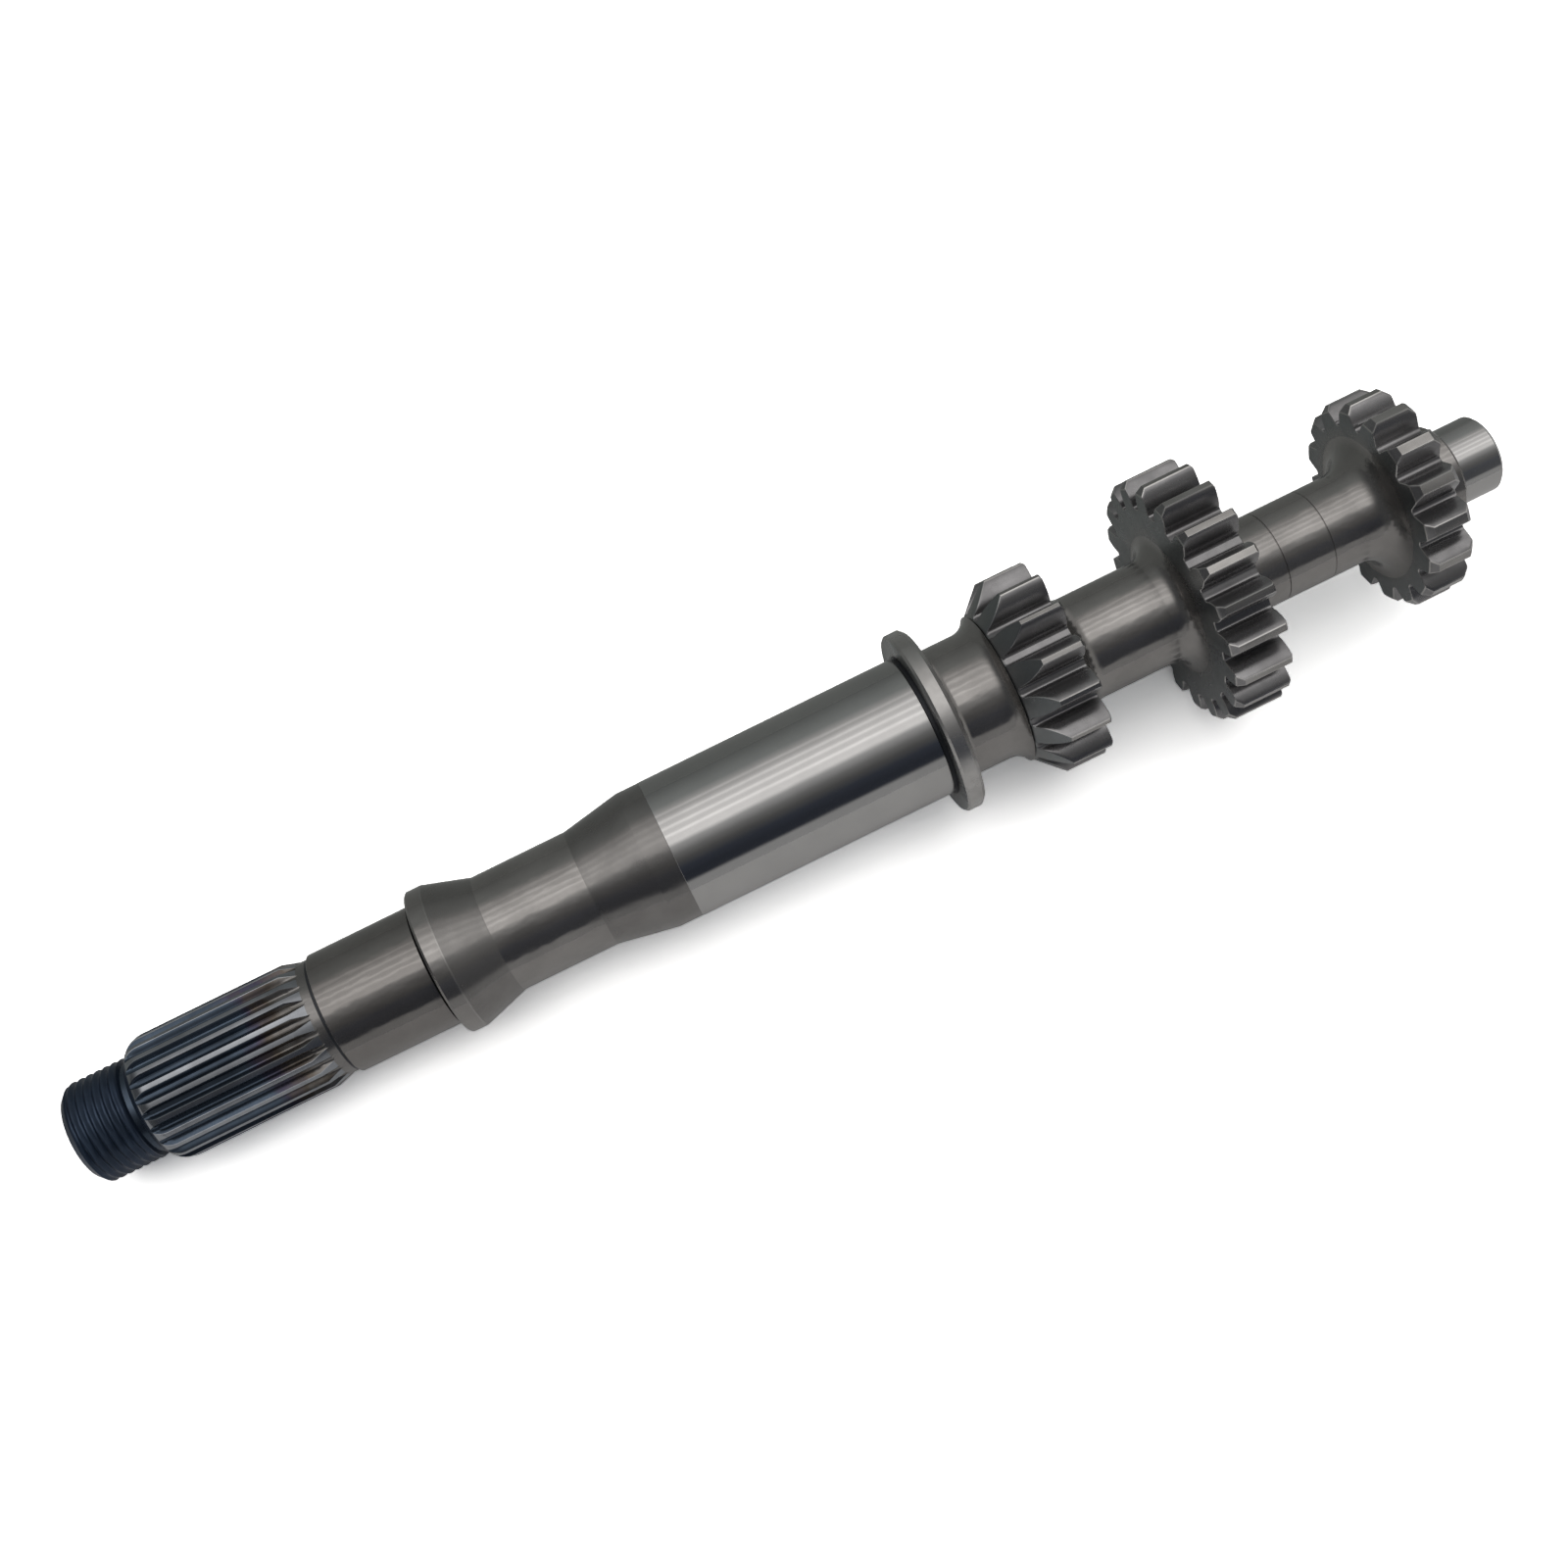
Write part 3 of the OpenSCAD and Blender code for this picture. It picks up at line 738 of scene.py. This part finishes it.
def make_node(tree, kind, **settings):
    """A node with its settings. A setting that names an input, or in_ and its number, feeds that input."""
    made = tree.nodes.new("ShaderNode" + kind)
    for key, value in settings.items():
        if hasattr(made, key):
            setattr(made, key, value)
        else:
            feed(tree, made.inputs[int(key[3:]) if key.startswith("in_") else key.replace("_", " ")], value)
    return made


def maths(tree, operation, *values):
    """A Math node's result for one or two values or sockets."""
    made = make_node(tree, "Math", operation=operation)
    for socket, value in zip(made.inputs, values):
        feed(tree, socket, value)
    return made.outputs[0]


def rise(tree, value, low, high):
    """How far a value has risen from low to high, as a share."""
    return make_node(tree, "MapRange", Value=value, From_Min=low, From_Max=high).outputs[0]


def blend_colours(tree, share, first, second):
    """A colour between two colours or sockets."""
    return make_node(tree, "Mix", data_type="RGBA", in_0=share, in_6=first, in_7=second).outputs[2]


def ramp(tree, value, points):
    """A Color Ramp over (position, colour) points."""
    made = make_node(tree, "ValToRGB", in_0=value)
    elements = made.color_ramp.elements
    while len(elements) < len(points):
        elements.new(0.5)
    for element, (position, colour) in zip(elements, points):
        element.position = position
        element.color = opaque(colour)
    return made.outputs[0]


def opaque(colour, share=1.0):
    """A colour times a share, with full alpha."""
    return (*(c * share for c in colour[:3]), 1.0)


def new_group(name, inputs, outputs):
    """An empty shader group with sockets of the given kinds. Returns the tree and its input and output sockets."""
    tree = bpy.data.node_groups.new(name, "ShaderNodeTree")
    for in_out, sockets in (("INPUT", inputs), ("OUTPUT", outputs)):
        for label, kind in sockets.items():
            tree.interface.new_socket(label, in_out=in_out, socket_type="NodeSocket" + kind)
    entry, leave = tree.nodes.new("NodeGroupInput"), tree.nodes.new("NodeGroupOutput")
    return tree, entry.outputs, leave.inputs


def place_group(tree, group, **values):
    """Puts a group into a tree and sets its inputs."""
    made = tree.nodes.new("ShaderNodeGroup")
    made.node_tree = group
    for key, value in values.items():
        feed(tree, made.inputs[key.capitalize()], value)
    return made.outputs


def lathe_position(place):
    """Where a point lies on the shaft: station and radius in millimetres, and its direction round the axis. place is
    the matrix that laid the shaft down."""
    tree, _, out = new_group("lathe position", {}, {"Station": "Float", "Radius": "Float", "Around": "Vector",
                                                    "Place": "Vector"})
    upright = make_node(tree, "Mapping", vector_type="TEXTURE", Vector=make_node(tree, "TexCoord").outputs["Object"],
                        Location=place.to_translation(), Rotation=place.to_euler(), Scale=(MM, MM, MM))
    parts = make_node(tree, "SeparateXYZ", Vector=upright.outputs[0])
    across = make_node(tree, "CombineXYZ", X=parts.outputs[0], Y=parts.outputs[1])
    reach = make_node(tree, "VectorMath", operation="LENGTH", in_0=across.outputs[0])
    around = make_node(tree, "VectorMath", operation="NORMALIZE", in_0=across.outputs[0])
    for label, socket in (("Station", parts.outputs[2]), ("Radius", reach.outputs["Value"]),
                          ("Around", around.outputs[0]), ("Place", upright.outputs[0])):
        tree.links.new(socket, out[label])
    return tree


def turning_marks(position):
    """Fine rings left by the tool, with a slow drift round the axis."""
    drift = 0.3
    tree, entry, out = new_group("turning marks", {"Spacing": "Float"}, {"Height": "Float"})
    at = place_group(tree, position)
    around = make_node(tree, "SeparateXYZ", Vector=at["Around"])
    radius = maths(tree, "DIVIDE", at["Radius"], entry["Spacing"])
    station = maths(tree, "DIVIDE", at["Station"], entry["Spacing"])
    side, other = (maths(tree, "MULTIPLY", around.outputs[n], drift) for n in (0, 1))
    spot = make_node(tree, "CombineXYZ", X=radius, Y=station, Z=side)
    noise = make_node(tree, "TexNoise", noise_dimensions="4D", Vector=spot.outputs[0], W=other,
                      Scale=1.0, Detail=2.0, Roughness=0.6)
    tree.links.new(noise.outputs[0], out["Height"])
    return tree


def surface_ripple(position):
    """Shallow waves of a turned or ground surface, twice as long along the axis as round it."""
    tree, entry, out = new_group("surface ripple", {"Length": "Float"}, {"Height": "Float"})
    at, length = place_group(tree, position), entry["Length"]
    wave = make_node(tree, "CombineXYZ", X=length, Y=length, Z=maths(tree, "MULTIPLY", length, 2.0))
    spot = make_node(tree, "VectorMath", operation="DIVIDE", in_0=at["Place"], in_1=wave.outputs[0])
    noise = make_node(tree, "TexNoise", Vector=spot.outputs[0], Scale=1.0, Detail=1.0, Roughness=0.45)
    tree.links.new(noise.outputs[0], out["Height"])
    return tree


def handling_marks(position):
    """Soft blotches and fine scratches from handling, as two masks."""
    blotch_size, scratches_round, scratches_per_mm = 7.0, 2.2, 5.0
    tree, _, out = new_group("handling marks", {}, {"Blotch": "Float", "Scratch": "Float"})
    at = place_group(tree, position)
    spot = make_node(tree, "VectorMath", operation="SCALE", in_0=at["Place"], Scale=1 / blotch_size)
    blotch = make_node(tree, "TexNoise", Vector=spot.outputs[0], Scale=1.0, Detail=4.0, Roughness=0.6)
    soft = rise(tree, blotch.outputs[0], 0.35, 0.65)
    around = make_node(tree, "SeparateXYZ", Vector=at["Around"])
    side, other = (maths(tree, "MULTIPLY", around.outputs[n], scratches_round) for n in (0, 1))
    along = maths(tree, "MULTIPLY", at["Station"], scratches_per_mm)
    fine = make_node(tree, "CombineXYZ", X=side, Y=other, Z=along)
    scratch = make_node(tree, "TexNoise", Vector=fine.outputs[0], Scale=1.0, Detail=2.0, Roughness=0.7)
    thin = rise(tree, scratch.outputs[0], 0.62, 0.72)
    tree.links.new(soft, out["Blotch"])
    tree.links.new(thin, out["Scratch"])
    return tree


def edge_polish_and_highlight(position):
    """Polished edges with a painted highlight on them: the mesh's wear value, broken up by noise."""
    noise_share, bare, full = 0.25, 0.7, 1.1
    tree, _, out = new_group("edge polish", {}, {"Mask": "Float"})
    at = place_group(tree, position)
    wear = make_node(tree, "Attribute", attribute_name="wear", attribute_type="GEOMETRY")
    noise = make_node(tree, "TexNoise", Vector=at["Place"], Scale=0.9, Detail=3.0)
    broken = maths(tree, "ADD", wear.outputs["Fac"], maths(tree, "MULTIPLY", noise.outputs[0], noise_share))
    tree.links.new(rise(tree, broken, bare, full), out["Mask"])
    return tree


def heat_tint(position):
    """Temper colours from blue through purple and straw to clean steel along the shaft, between two stations."""
    patches_per_mm, wander_mm = 0.16, 22.0
    tree, entry, out = new_group("heat tint", {"Start": "Float", "End": "Float", "Blue": "Color", "Purple": "Color",
                                               "Straw": "Color", "Steel": "Color"}, {"Colour": "Color"})
    at = place_group(tree, position)
    noise = make_node(tree, "TexNoise", Vector=at["Place"], Scale=patches_per_mm, Detail=3.0)
    wander = maths(tree, "MULTIPLY", maths(tree, "SUBTRACT", noise.outputs[0], 0.5), wander_mm)
    run = rise(tree, maths(tree, "ADD", at["Station"], wander), entry["Start"], entry["End"])
    colour = entry["Blue"]
    for low, high, following in ((0.0, 0.3, "Purple"), (0.3, 0.65, "Straw"), (0.65, 1.0, "Steel")):
        colour = blend_colours(tree, rise(tree, run, low, high), colour, entry[following])
    tree.links.new(colour, out["Colour"])
    return tree


class Workshop:
    """The shader groups that the finishes share, built once."""

    def __init__(self, place):
        self.position = lathe_position(place)
        self.marks = turning_marks(self.position)
        self.ripple = surface_ripple(self.position)
        self.handling = handling_marks(self.position)
        self.polish = edge_polish_and_highlight(self.position)
        self.tint = heat_tint(self.position)


def steel(workshop, name, colour, metal, roughness, grain, marks, ripple, blotch, tint=None, polish=None,
          inner=None):
    """A steel finish. metal is the share that isn't a thin film of oil and oxide, roughness its (low, high) and grain
    how far the sheen is drawn out across the tool marks. marks gives the (spacing, height) of those marks and ripple
    the (length, height) of the surface's waves, in millimetres. blotch is how far handling darkens the colour. tint
    gives (start, end, purple, straw, steel) of the temper colours, and polish the colour of polished
    edges, which also paints a highlight on them. inner gives (radius, radius, colour): the colour up to the first
    radius, which fades out at the second."""
    scratch_depth, quarter_turn = 0.0004, 0.25
    material = bpy.data.materials.new(name)
    material.use_nodes = True
    tree = material.node_tree
    shader = tree.nodes["Principled BSDF"].inputs
    shader["Metallic"].default_value = metal
    shader["Anisotropic"].default_value = grain
    shader["Anisotropic Rotation"].default_value = quarter_turn
    around = make_node(tree, "VectorMath", operation="CROSS_PRODUCT", in_0=AXIS,
                       in_1=make_node(tree, "TexCoord").outputs["Object"])
    tangent = make_node(tree, "VectorTransform", vector_type="VECTOR", convert_from="OBJECT", convert_to="WORLD",
                        Vector=around.outputs[0])
    tree.links.new(tangent.outputs[0], shader["Tangent"])
    handled = place_group(tree, workshop.handling)
    base, dark = opaque(colour), opaque(colour, 1 - blotch)
    if tint:
        start, end, purple, straw, clean = tint
        tinted = place_group(tree, workshop.tint, start=start, end=end, blue=base, purple=opaque(purple),
                             straw=opaque(straw), steel=opaque(clean))
        base = tinted["Colour"]
        dark = blend_colours(tree, blotch, base, (0.0, 0.0, 0.0, 1.0))
    if inner:
        near, far, core = inner
        outwards = rise(tree, place_group(tree, workshop.position)["Radius"], near, far)
        base = blend_colours(tree, outwards, opaque(core), base)
    toned = blend_colours(tree, handled["Blotch"], base, dark)
    if polish:
        toned = blend_colours(tree, place_group(tree, workshop.polish)["Mask"], toned, opaque(polish))
    tree.links.new(toned, shader["Base Color"])
    rough = make_node(tree, "MapRange", Value=handled["Blotch"], To_Min=roughness[0], To_Max=roughness[1])
    tree.links.new(rough.outputs[0], shader["Roughness"])
    rings = place_group(tree, workshop.marks, spacing=marks[0])
    waves = place_group(tree, workshop.ripple, length=ripple[0])
    height = maths(tree, "ADD", maths(tree, "MULTIPLY", rings["Height"], marks[1]),
                   maths(tree, "MULTIPLY", waves["Height"], ripple[1]))
    height = maths(tree, "SUBTRACT", height, maths(tree, "MULTIPLY", handled["Scratch"], scratch_depth))
    bump = make_node(tree, "Bump", Height=height, Strength=1.0, Distance=MM)
    tree.links.new(bump.outputs[0], shader["Normal"])
    return material


def finishes(colours, place):
    """The shaft's finishes, in the order of their numbers. Each row has a name, the colour's setting, and then the
    metal, roughness, grain, marks, ripple and blotch that steel describes."""
    workshop = Workshop(place)
    tint_from, tint_to, core_radius, rim_radius = 32.0, 44.0, 12.8, 15.6
    tint = (tint_from, tint_to, colours.purple, colours.straw, colours.cones)
    inner = (core_radius, rim_radius, colours.cones)

    def mix(name, colour, *recipe, **extras):
        return steel(workshop, name, getattr(colours, colour), *recipe, **extras)

    return [
        mix("blued thread", "thread", 0.65, (0.30, 0.42), 0.3, (0.2, 0.0010), (1.5, 0.010), 0.35),
        mix("blued spline", "blued", 0.85, (0.20, 0.30), 0.0, (0.3, 0.0006), (1.5, 0.010), 0.35, tint=tint),
        mix("spline lands", "spline_lands", 0.9, (0.12, 0.20), 0.3, (0.3, 0.0004), (3.0, 0.010), 0.3),
        mix("journal steel", "journal", 0.86, (0.10, 0.15), 0.85, (0.22, 0.0010), (1.5, 0.034), 0.12),
        mix("dull cones", "cones", 0.86, (0.20, 0.28), 0.80, (0.22, 0.0022), (1.6, 0.020), 0.14),
        mix("turned steel", "turned", 0.86, (0.13, 0.20), 0.85, (0.22, 0.0013), (1.5, 0.034), 0.14),
        mix("ground steel", "ground", 1.0, (0.11, 0.15), 0.8, (0.12, 0.0004), (2.0, 0.006), 0.06),
        mix("gear faces", "faces", 0.85, (0.24, 0.34), 0.6, (0.25, 0.0012), (3.0, 0.020), 0.15, inner=inner),
        # Tooth edges are brightened with the polished colour: polishing and a painted highlight.
        mix("tooth flanks", "teeth", 0.85, (0.22, 0.32), 0.3, (0.3, 0.0008), (1.6, 0.012), 0.25, polish=colours.worn),
        mix("tooth lands", "lands", 0.9, (0.18, 0.26), 0.6, (0.2, 0.0010), (1.6, 0.012), 0.2, polish=colours.worn),
        # Polished steel on the flange's rim and the tooth-end bevels; on the bevels it is also a painted highlight.
        mix("worn edges", "worn", 0.9, (0.24, 0.36), 0.0, (0.2, 0.0006), (1.2, 0.010), 0.25),
        # Grooves: dark as old oil and as painted shade in the recesses.
        mix("oiled grooves", "grooves", 0.7, (0.35, 0.5), 0.0, (0.2, 0.0006), (1.2, 0.010), 0.25),
    ]


def floor_finish(front, back, white):
    """A plain matt floor, white to the eye. Where the steel mirrors it, it is dimmer behind the shaft than before it:
    painted shade.
    """
    fade_from, fade_to = -0.01, 0.03
    material = bpy.data.materials.new("pale floor")
    material.use_nodes = True
    tree = material.node_tree
    tree.nodes.remove(tree.nodes["Principled BSDF"])
    seen = make_node(tree, "LightPath").outputs["Is Camera Ray"]
    parts = make_node(tree, "SeparateXYZ", Vector=make_node(tree, "TexCoord").outputs["Object"])
    # Darker behind the shaft in the steel's mirror image: painted shade.
    mirrored = blend_colours(tree, rise(tree, parts.outputs[1], fade_from, fade_to), opaque(front), opaque(back))
    matt = make_node(tree, "BsdfDiffuse", Color=blend_colours(tree, seen, mirrored, opaque((white,) * 3)))
    tree.links.new(matt.outputs[0], tree.nodes["Material Output"].inputs["Surface"])
    return material


def studio_light(name, bands, ends, pale):
    """A world that lights the shaft as a studio does. bands gives (angle, colour) round the shaft's axis, in degrees
    from straight up towards the front, and ends (low, high, colour) for what lies towards the shaft's two ends."""
    world = bpy.data.worlds.new(name)
    world.use_nodes = True
    tree = world.node_tree
    parts = make_node(tree, "SeparateXYZ", Vector=make_node(tree, "TexCoord").outputs["Generated"])
    across = maths(tree, "ARCTAN2", maths(tree, "MULTIPLY", parts.outputs[1], -1.0), parts.outputs[2])
    place = maths(tree, "ADD", maths(tree, "DIVIDE", across, 2 * math.pi), 0.5)
    light = ramp(tree, place, [(0.5 + angle / 360, colour) for angle, colour in bands])
    for low, high, colour in ends:
        share = make_node(tree, "MapRange", interpolation_type="SMOOTHSTEP", Value=parts.outputs[0], From_Min=low,
                          From_Max=high)
        light = blend_colours(tree, share.outputs[0], light, opaque(colour))
    seen = make_node(tree, "LightPath").outputs["Is Camera Ray"]
    background = tree.nodes["Background"]
    tree.links.new(blend_colours(tree, seen, light, opaque(pale)), background.inputs["Color"])
    return world


def softbox_bands(radiance):
    """The studio round the shaft: a ribbed softbox overhead that fades to the back, and a dark front."""
    green, blue, warm, plain = (0.95, 1.0, 0.98), (0.82, 0.94, 1.25), (1.0, 0.985, 0.97), (1.0, 1.0, 1.0)
    fade = [(-180, 0.13, green), (-90, 0.13, green), (-72, 0.19, green), (-54, 0.26, green)]
    rib = ((-3.0, 0.84), (-1.2, 1.22), (1.2, 1.22), (3.0, 0.9))
    for angle, level in ((-41, 0.52), (-29, 0.78), (-17, 0.92), (-5, 1.0)):
        fade += [(angle + across, level * share, warm) for across, share in rib]
    fade += [(7, 0.95, warm), (13, 0.42, plain), (26, 0.17, plain), (36, 0.09, plain), (48, 0.045, blue),
             (60, 0.032, blue), (71, 0.032, blue), (76, 0.30, plain), (180, 0.34, plain)]
    return [(angle, tuple(radiance * level * c for c in tint)) for angle, level, tint in fade]


def camera_matrix(studio):
    """The camera's place, turned round the axis, leaned along it and rolled."""
    side, lean, roll = (math.radians(a) for a in (studio.side, studio.lean, studio.roll))
    out = UP * math.cos(side) - BACKWARDS * math.sin(side)
    back = out * math.cos(lean) - AXIS * math.sin(lean)
    right = AXIS * math.cos(lean) + out * math.sin(lean)
    top = back.cross(right)
    centre = AXIS * (studio.foot * MM) + out * (studio.distance * MM)
    columns = (right * math.cos(roll) - top * math.sin(roll), right * math.sin(roll) + top * math.cos(roll), back)
    return Matrix.Translation(centre) @ Matrix(columns).transposed().to_4x4()


class MAINSHAFT_OT_shaft(bpy.types.Operator):
    """Builds the dressed shaft and puts it in the place of its plain solid"""

    bl_idname = "main_shaft.build_shaft"
    bl_label = "Build Shaft"

    def execute(self, context):
        settings = context.scene.main_shaft
        z = stations(settings)
        skin = Skin()
        for lay in (lay_thread_and_spline, lay_journal_and_waist, lay_seat_and_flange, lay_gears, lay_end):
            lay(skin, settings, z)
        place = shaft_matrix(z["thrust"])
        shaft = skin.build("dressed_main_shaft", finishes(settings.finish, place), place, smooth_below=20)
        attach(shaft, "root")
        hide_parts("main_shaft")
        print("dressed shaft:", len(shaft.data.polygons), "faces")
        return {"FINISHED"}


class MAINSHAFT_OT_studio(bpy.types.Operator):
    """Builds the floor, the studio's light and the camera"""

    bl_idname = "main_shaft.build_studio"
    bl_label = "Build Studio"

    def execute(self, context):
        studio = context.scene.main_shaft.studio
        reach = 6.0
        corners = [(x * reach, y * reach, FLOOR_Z) for x, y in ((-1, -1), (1, -1), (1, 1), (-1, 1))]
        mesh = bpy.data.meshes.new("floor")
        mesh.from_pydata(corners, [], [(0, 1, 2, 3)])
        mesh.materials.append(floor_finish(studio.floor, studio.floor_behind, studio.white))
        floor = bpy.data.objects.new("floor", mesh)
        context.scene.collection.objects.link(floor)
        dim_end, pale_end = (-0.5, -0.85, (0.10, 0.105, 0.11)), (0.36, 0.66, (0.50, 0.50, 0.49))
        bands = softbox_bands(studio.softbox)
        context.scene.world = studio_light("studio light", bands, (dim_end, pale_end), (1.0, 1.0, 1.0))
        data = bpy.data.cameras.new("camera")
        data.sensor_width = 36.0
        data.lens = studio.focal
        roll, (along, across) = math.radians(studio.roll), studio.shift
        data.shift_x = along * math.cos(roll) - across * math.sin(roll)
        data.shift_y = along * math.sin(roll) + across * math.cos(roll)
        camera = bpy.data.objects.new("camera", data)
        camera.matrix_world = camera_matrix(studio)
        context.scene.collection.objects.link(camera)
        context.scene.camera = camera
        context.scene.view_settings.view_transform = "Standard"
        return {"FINISHED"}


class MAINSHAFT_PT_panel(bpy.types.Panel):
    """Settings and buttons of the main shaft"""

    bl_label = "Main Shaft"
    bl_space_type = "VIEW_3D"
    bl_region_type = "UI"
    bl_category = "Main Shaft"

    def draw(self, context):
        settings = context.scene.main_shaft
        self.layout.operator("main_shaft.build_shaft")
        self.layout.operator("main_shaft.build_studio")
        for name in ShaftSettings.__annotations__:
            box = self.layout.box()
            box.label(text=name.capitalize())
            group = getattr(settings, name)
            for key in type(group).__annotations__:
                box.prop(group, key)


CLASSES = (
    ThreadSizes, SplineSizes, CentreSizes, JournalSizes, SeatSizes, GearSizes, NeckSizes, FinishSettings,
    StudioSettings, ShaftSettings, MAINSHAFT_OT_shaft, MAINSHAFT_OT_studio, MAINSHAFT_PT_panel,
)


def register():
    for kind in CLASSES:
        bpy.utils.register_class(kind)
    bpy.types.Scene.main_shaft = PointerProperty(type=ShaftSettings)


def unregister():
    del bpy.types.Scene.main_shaft
    for kind in reversed(CLASSES):
        bpy.utils.unregister_class(kind)


def main():
    register()
    bpy.ops.main_shaft.build_shaft()
    bpy.ops.main_shaft.build_studio()


if __name__ == "__main__":
    main()
